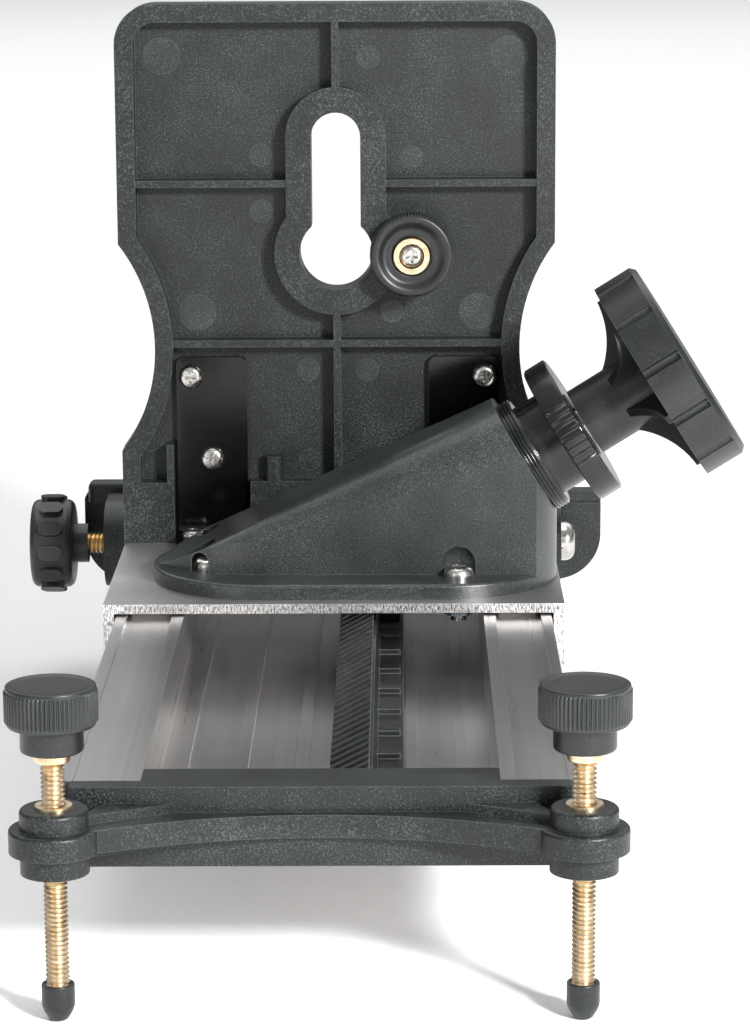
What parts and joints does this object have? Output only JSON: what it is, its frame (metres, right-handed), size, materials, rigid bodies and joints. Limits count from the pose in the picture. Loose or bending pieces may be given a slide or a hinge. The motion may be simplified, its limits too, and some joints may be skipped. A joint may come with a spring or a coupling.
{
  "type": "laser level wall mount",
  "caption": "Wall mount for a rotary laser level: rail with rack, knob-driven carriage, ribbed keyhole platform, levelling screws and a pivoting hanger.",
  "frame": {"origin": "on the wall plane, at the middle of the hanger pad", "axes": "+Z points away from the wall, +Y runs along the rail towards the hanger end, +X is across the rail towards the drive knob"},
  "size_m": [0.2444, 0.3913, 0.246],
  "materials": {
    "satin_aluminium": "extruded, satin",
    "sawn_aluminium": "extruded, matt, sawn ends",
    "filled_nylon": "moulded glass-filled nylon, faint speckle",
    "knob_plastic": "moulded, fine matt texture",
    "glossy_black_plastic": "turned and moulded, semi-gloss",
    "rack_plastic": "moulded acetal, satin",
    "bearing_plastic": "natural acetal",
    "black_enamelled_steel": "glossy black enamel",
    "zinc_steel": "bright zinc plated",
    "bright_steel": "ground",
    "brass": "turned, bright",
    "vinyl": "soft moulded vinyl",
    "pad_rubber": "flat sheet rubber"
  },
  "bodies": {
    "rail": {"rail_extrusion": "satin_aluminium", "gear_rack": "rack_plastic", "rack_screws": "zinc_steel", "front_end_cap": "filled_nylon", "front_cap_screws": "zinc_steel", "foot_thread_inserts": "brass", "rear_end_cap": "filled_nylon", "rear_cap_screws": "zinc_steel", "pivot_inserts": "brass", "pivot_screw": "zinc_steel"},
    "carriage": {"carriage_channel": "sawn_aluminium", "glide_strips": "bearing_plastic", "drive_housing": "filled_nylon", "housing_screws": "zinc_steel", "housing_nuts": "zinc_steel", "shaft_bushing": "bearing_plastic", "threaded_collar": "glossy_black_plastic", "platform_plate": "filled_nylon", "left_angle_bracket": "black_enamelled_steel", "right_angle_bracket": "black_enamelled_steel", "platform_screws": "zinc_steel", "bracket_foot_screws": "zinc_steel", "platform_knob_screw": "zinc_steel"},
    "drive": {"drive_shaft": "bright_steel", "drive_pinion": "rack_plastic", "pinion_clip": "bright_steel", "drive_knob": "knob_plastic"},
    "drag_ring": {"drag_ring": "glossy_black_plastic"},
    "platform_knob": {"platform_knob": "knob_plastic", "platform_knob_bush": "brass"},
    "left_tip": {"left_foot_tip": "vinyl"},
    "left_screw": {"left_foot_screw": "brass", "left_foot_knob": "knob_plastic"},
    "right_tip": {"right_foot_tip": "vinyl"},
    "right_screw": {"right_foot_screw": "brass", "right_foot_knob": "knob_plastic"},
    "hanger": {"hanger_plate": "filled_nylon", "wall_pad": "pad_rubber"},
    "lock_pad": {"lock_pad": "bearing_plastic"},
    "lock": {"lock_knob": "knob_plastic", "lock_screw": "brass"}
  },
  "joints": [
    {"name": "carriage_slide", "type": "slide", "parent": "rail", "child": "carriage", "axis": [0, 1, 0], "range_m": [-0.178, 0.01]},
    {"name": "drive_spin", "type": "hinge", "parent": "carriage", "child": "drive", "pos_m": [0.0075, -0.127, 0.06739], "axis": [0.848, 0, 0.5299], "range_deg": [-60, 915]},
    {"name": "drag_ring_turn", "type": "hinge", "parent": "carriage", "child": "drag_ring", "pos_m": [0.0075, -0.127, 0.06739], "axis": [0.848, 0, 0.5299], "range_deg": [-45, 90]},
    {"name": "platform_knob_turn", "type": "hinge", "parent": "carriage", "child": "platform_knob", "pos_m": [0.0253, -0.0835, 0.1628], "axis": [0, -1, 0], "continuous": true},
    {"name": "left_foot_travel", "type": "slide", "parent": "rail", "child": "left_tip", "axis": [0, 0, 1], "range_m": [-0.0114, 0.0272]},
    {"name": "left_foot_turn", "type": "hinge", "parent": "left_tip", "child": "left_screw", "pos_m": [-0.0685, -0.37, 0.05], "axis": [0, 0, 1], "range_deg": [-3180, 7650]},
    {"name": "right_foot_travel", "type": "slide", "parent": "rail", "child": "right_tip", "axis": [0, 0, 1], "range_m": [-0.0114, 0.0272]},
    {"name": "right_foot_turn", "type": "hinge", "parent": "right_tip", "child": "right_screw", "pos_m": [0.0685, -0.37, 0.05], "axis": [0, 0, 1], "range_deg": [-3180, 7650]},
    {"name": "hanger_pivot", "type": "hinge", "parent": "rail", "child": "hanger", "pos_m": [0, -0.015, 0.0494], "axis": [1, 0, 0], "range_deg": [0, 90]},
    {"name": "lock_travel", "type": "slide", "parent": "rail", "child": "lock_pad", "axis": [1, 0, 0], "range_m": [-0.0052, 0.0062]},
    {"name": "lock_turn", "type": "hinge", "parent": "lock_pad", "child": "lock", "pos_m": [-0.09, -0.015, 0.0494], "axis": [1, 0, 0], "range_deg": [-1300, 1560]}
  ],
  "couplings": [
    {"joint": "drive_spin", "follows": "carriage_slide", "rad_per_m": -89.25},
    {"joint": "left_foot_travel", "follows": "left_foot_turn", "m_per_rad": 0.00020213},
    {"joint": "right_foot_travel", "follows": "right_foot_turn", "m_per_rad": 0.00020213},
    {"joint": "lock_travel", "follows": "lock_turn", "m_per_rad": 0.00022459}
  ]
}
